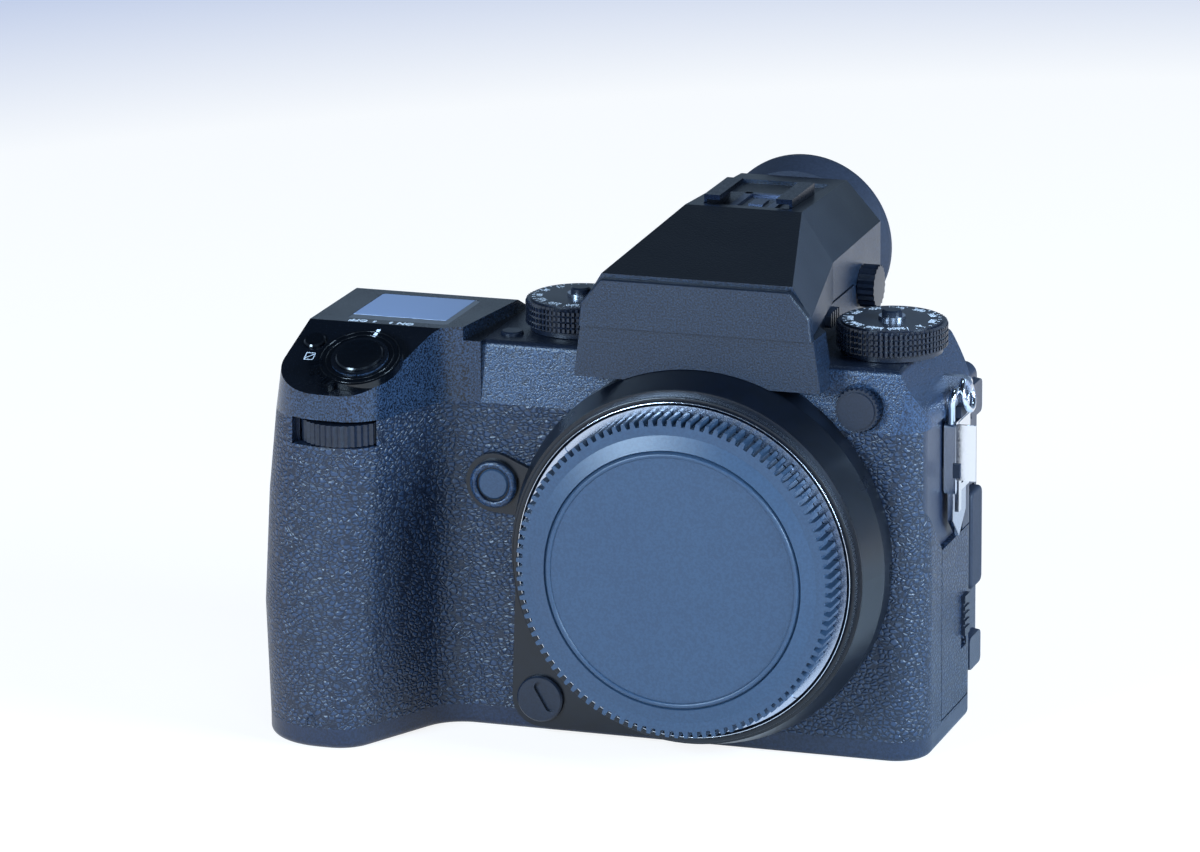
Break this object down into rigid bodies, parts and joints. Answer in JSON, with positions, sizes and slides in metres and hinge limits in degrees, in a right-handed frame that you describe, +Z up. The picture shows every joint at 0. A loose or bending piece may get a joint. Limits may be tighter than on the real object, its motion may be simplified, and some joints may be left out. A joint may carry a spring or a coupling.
{
  "type": "medium format digital camera body",
  "caption": "Mirrorless medium format camera body with removable finder, a cap on its lens mount, a deep grip and a tilting rear monitor.",
  "frame": {"origin": "centre of the tripod socket's mouth on the base, under the lens axis", "axes": "+X along the body away from the grip, +Y backwards towards the finder's eyepiece, +Z up; the lens mount faces -Y"},
  "size_m": [0.1489, 0.1034, 0.1154],
  "materials": {
    "covering": "textured leatherette grain",
    "shell_black": "fine matt texture, black",
    "deck_black": "speckled matt black",
    "bare_black": "smooth satin black",
    "cap_black": "satin black",
    "dial_black": "satin black knurled",
    "steel": "polished",
    "brushed": "brushed",
    "display": "grey display under clear glass",
    "screen": "gloss black",
    "lens_glass": "coated",
    "rubber_black": "matt",
    "sensor": "coated cover glass",
    "board": "solder mask",
    "brass": "gold plated",
    "battery_case": "matt",
    "card_blue": "matt"
  },
  "bodies": {
    "body": {"front_cover": "shell_black", "front_coverings": "covering", "rear_cover": "shell_black", "mount_skirt": "bare_black", "mount_ring": "brushed", "image_sensor": "sensor", "main_board": "board", "shutter_unit": "bare_black", "lens_contacts": "brass", "base_plate": "shell_black", "tripod_bush": "brushed", "screws": "brushed", "strap_lugs": "brushed", "hump_cover": "deck_black", "top_cover": "deck_black", "grip_top_cover": "shell_black", "top_display_glass": "display", "dial_posts": "brushed", "battery": "battery_case", "memory_cards": "card_blue", "port_sockets": "bare_black"},
    "cap": {"body_cap": "cap_black"},
    "release": {"lens_release_button": "bare_black"},
    "function": {"front_function_button": "steel"},
    "sync": {"sync_cap": "dial_black"},
    "power": {"power_switch": "dial_black"},
    "shutter": {"shutter_button": "steel"},
    "exposure": {"exposure_button": "bare_black"},
    "backlight": {"backlight_button": "bare_black"},
    "drive": {"drive_button": "bare_black"},
    "front_dial": {"front_command_dial": "dial_black"},
    "rear_dial": {"rear_command_dial": "dial_black"},
    "speed_dial": {"shutter_speed_dial": "dial_black"},
    "speed_lock": {"shutter_speed_lock_button": "bare_black"},
    "sensitivity_wheel": {"sensitivity_dial": "dial_black"},
    "sensitivity_lock": {"sensitivity_lock_button": "bare_black"},
    "catch": {"finder_catch": "bare_black"},
    "clip": {"strap_clip": "steel"},
    "battery_lid": {"battery_door": "shell_black"},
    "latch": {"battery_latch": "bare_black"},
    "card_lid": {"card_door": "shell_black"},
    "port_lid": {"port_cover": "rubber_black"},
    "finder": {"finder_housing": "shell_black", "finder_front_plate": "deck_black", "accessory_shoe": "steel", "eyecup": "rubber_black", "eyepiece_lens": "lens_glass"},
    "diopter": {"diopter_dial": "dial_black"},
    "arm": {"monitor_arm": "bare_black"},
    "bracket": {"monitor_bracket": "bare_black"},
    "monitor": {"monitor_housing": "bare_black", "monitor_glass": "screen"},
    "stick": {"focus_stick": "rubber_black"},
    "selector": {"selector_ring": "bare_black"},
    "menu": {"menu_button": "bare_black"},
    "exposure_lock": {"exposure_lock_button": "bare_black"},
    "focus_lock": {"focus_lock_button": "bare_black"},
    "display_key": {"display_button": "bare_black"},
    "play": {"play_button": "bare_black"},
    "delete": {"delete_button": "bare_black"}
  },
  "joints": [
    {"name": "cap_slide", "type": "slide", "parent": "body", "child": "cap", "axis": [0, -1, 0], "range_m": [0, 0.06]},
    {"name": "release_slide", "type": "slide", "parent": "body", "child": "release", "axis": [0, 1, 0], "range_m": [0, 0.0007], "stiffness_N_per_m": 600},
    {"name": "function_slide", "type": "slide", "parent": "body", "child": "function", "axis": [0, 1, 0], "range_m": [0, 0.0007], "stiffness_N_per_m": 500},
    {"name": "sync_turn", "type": "hinge", "parent": "body", "child": "sync", "pos_m": [0.0343, -0.0203, 0.0786], "axis": [0, -1, 0], "range_deg": [0, 720]},
    {"name": "power_turn", "type": "hinge", "parent": "body", "child": "power", "pos_m": [-0.073, -0.035, 0.08418], "axis": [0, 0.4246, -0.9054], "range_deg": [0, 30]},
    {"name": "shutter_slide", "type": "slide", "parent": "body", "child": "shutter", "axis": [0, 0.4246, -0.9054], "range_m": [0, 0.0007], "stiffness_N_per_m": 500},
    {"name": "exposure_slide", "type": "slide", "parent": "body", "child": "exposure", "axis": [0, 0.4246, -0.9054], "range_m": [0, 0.0007], "stiffness_N_per_m": 500},
    {"name": "backlight_slide", "type": "slide", "parent": "body", "child": "backlight", "axis": [0, 0, -1], "range_m": [0, 0.0007], "stiffness_N_per_m": 500},
    {"name": "drive_slide", "type": "slide", "parent": "body", "child": "drive", "axis": [0, 0, -1], "range_m": [0, 0.0007], "stiffness_N_per_m": 500},
    {"name": "front_dial_turn", "type": "hinge", "parent": "body", "child": "front_dial", "pos_m": [-0.0763, -0.0364, 0.0681], "axis": [0, 0, 1], "continuous": true},
    {"name": "rear_dial_turn", "type": "hinge", "parent": "body", "child": "rear_dial", "pos_m": [-0.066, 0.0154, 0.0666], "axis": [0, 0, 1], "continuous": true},
    {"name": "speed_dial_turn", "type": "hinge", "parent": "body", "child": "speed_dial", "pos_m": [-0.034, -0.002, 0.087], "axis": [0, 0, 1], "continuous": true},
    {"name": "speed_lock_slide", "type": "slide", "parent": "body", "child": "speed_lock", "axis": [0, 0, -1], "range_m": [0, 0.0007], "stiffness_N_per_m": 500},
    {"name": "sensitivity_wheel_turn", "type": "hinge", "parent": "body", "child": "sensitivity_wheel", "pos_m": [0.0364, -0.002, 0.087], "axis": [0, 0, 1], "continuous": true},
    {"name": "sensitivity_lock_slide", "type": "slide", "parent": "body", "child": "sensitivity_lock", "axis": [0, 0, -1], "range_m": [0, 0.0007], "stiffness_N_per_m": 500},
    {"name": "catch_slide", "type": "slide", "parent": "body", "child": "catch", "axis": [-1, 0, 0], "range_m": [0, 0.0007], "stiffness_N_per_m": 500},
    {"name": "clip_turn", "type": "hinge", "parent": "body", "child": "clip", "pos_m": [0.05, 0.005, 0.0784], "axis": [0, -1, 0], "range_deg": [0, 80]},
    {"name": "battery_lid_turn", "type": "hinge", "parent": "body", "child": "battery_lid", "pos_m": [0.0487, -0.0043, 0.0246], "axis": [0, 0, -1], "range_deg": [0, 100]},
    {"name": "latch_slide", "type": "slide", "parent": "battery_lid", "child": "latch", "axis": [0, 0, -1], "range_m": [0, 0.003]},
    {"name": "card_lid_turn", "type": "hinge", "parent": "body", "child": "card_lid", "pos_m": [-0.0966, -0.008, 0.038], "axis": [0.0302, 0, 0.9995], "range_deg": [0, 100]},
    {"name": "port_lid_turn", "type": "hinge", "parent": "body", "child": "port_lid", "pos_m": [0.04495, 0.0265, 0.037], "axis": [0, 0, -1], "range_deg": [0, 80]},
    {"name": "finder_slide", "type": "slide", "parent": "body", "child": "finder", "axis": [0, 1, 0], "range_m": [0, 0.045]},
    {"name": "diopter_turn", "type": "hinge", "parent": "finder", "child": "diopter", "pos_m": [0.0203, 0.031, 0.0924], "axis": [1, 0, 0], "range_deg": [-120, 120]},
    {"name": "arm_turn", "type": "hinge", "parent": "body", "child": "arm", "pos_m": [0, 0.0397, 0.066], "axis": [1, 0, 0], "range_deg": [0, 90]},
    {"name": "bracket_turn", "type": "hinge", "parent": "arm", "child": "bracket", "pos_m": [0, 0.0411, 0.0105], "axis": [1, 0, 0], "range_deg": [-45, 0]},
    {"name": "monitor_turn", "type": "hinge", "parent": "bracket", "child": "monitor", "pos_m": [-0.0396, 0.0418, 0.038], "axis": [0, 0, -1], "range_deg": [-60, 0]},
    {"name": "stick_turn", "type": "hinge", "parent": "body", "child": "stick", "pos_m": [-0.0576, 0.0189, 0.057], "axis": [1, 0, 0], "range_deg": [-8, 8], "stiffness_Nm_per_rad": 0.05},
    {"name": "selector_slide", "type": "slide", "parent": "body", "child": "selector", "axis": [0, -1, 0], "range_m": [0, 0.0005], "stiffness_N_per_m": 600},
    {"name": "menu_slide", "type": "slide", "parent": "body", "child": "menu", "axis": [0, -1, 0], "range_m": [0, 0.0007], "stiffness_N_per_m": 500},
    {"name": "exposure_lock_slide", "type": "slide", "parent": "body", "child": "exposure_lock", "axis": [0, -1, 0], "range_m": [0, 0.0007], "stiffness_N_per_m": 500},
    {"name": "focus_lock_slide", "type": "slide", "parent": "body", "child": "focus_lock", "axis": [0, -1, 0], "range_m": [0, 0.0007], "stiffness_N_per_m": 500},
    {"name": "display_key_slide", "type": "slide", "parent": "body", "child": "display_key", "axis": [0, -1, 0], "range_m": [0, 0.0007], "stiffness_N_per_m": 500},
    {"name": "play_slide", "type": "slide", "parent": "body", "child": "play", "axis": [0, -1, 0], "range_m": [0, 0.0007], "stiffness_N_per_m": 500},
    {"name": "delete_slide", "type": "slide", "parent": "body", "child": "delete", "axis": [0, -1, 0], "range_m": [0, 0.0007], "stiffness_N_per_m": 500}
  ]
}
